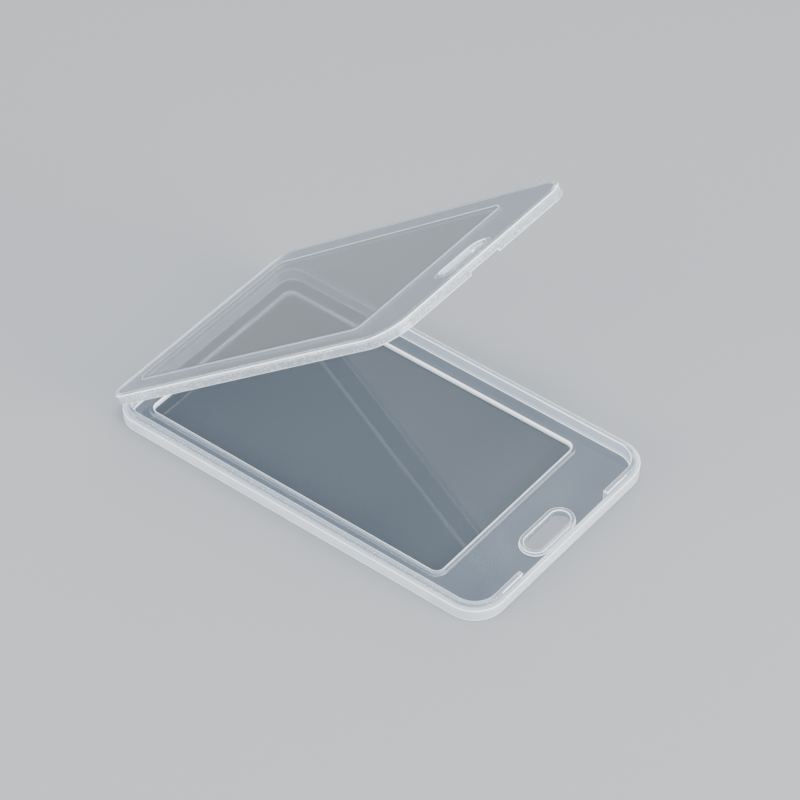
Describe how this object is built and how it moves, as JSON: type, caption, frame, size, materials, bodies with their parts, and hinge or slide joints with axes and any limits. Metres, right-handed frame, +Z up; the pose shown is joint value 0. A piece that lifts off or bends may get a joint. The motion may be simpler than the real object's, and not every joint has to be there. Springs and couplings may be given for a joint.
{
  "type": "lanyard badge holder",
  "caption": "Hinged clamshell badge holder in translucent plastic, with a rimmed card pocket, a clear window and a lanyard slot.",
  "frame": {"origin": "centre of the base shell's flat underside", "axes": "+X from the hinge to the lanyard slot, +Y across the holder, +Z up from the underside"},
  "size_m": [0.1177, 0.07, 0.0797],
  "materials": {
    "frosted_polypropylene": "lightly textured translucent polypropylene",
    "clear_polypropylene": "polished translucent polypropylene",
    "rim_polypropylene": "smooth translucent polypropylene, whiter where it is thick",
    "hinge_polypropylene": "thin flexed polypropylene web"
  },
  "bodies": {
    "base": {"base_panel": "frosted_polypropylene", "base_window": "clear_polypropylene", "base_rim": "rim_polypropylene", "base_plug_ring": "rim_polypropylene", "base_snap_beads": "rim_polypropylene", "base_card_rib": "frosted_polypropylene", "base_slot_collar": "frosted_polypropylene", "living_hinge": "hinge_polypropylene"},
    "cover": {"cover_panel": "frosted_polypropylene", "cover_window": "clear_polypropylene", "cover_rim": "rim_polypropylene", "cover_snap_bumps": "rim_polypropylene", "cover_card_rib": "frosted_polypropylene", "cover_slot_collar": "frosted_polypropylene"}
  },
  "joints": [
    {"name": "cover_hinge", "type": "hinge", "parent": "base", "child": "cover", "pos_m": [-0.0583, 0, 0.00365], "axis": [0, -1, 0], "range_deg": [-39.5, 140.5], "stiffness_Nm_per_rad": 0.02, "springref_deg": 9.97, "deforming": ["living_hinge"]}
  ]
}
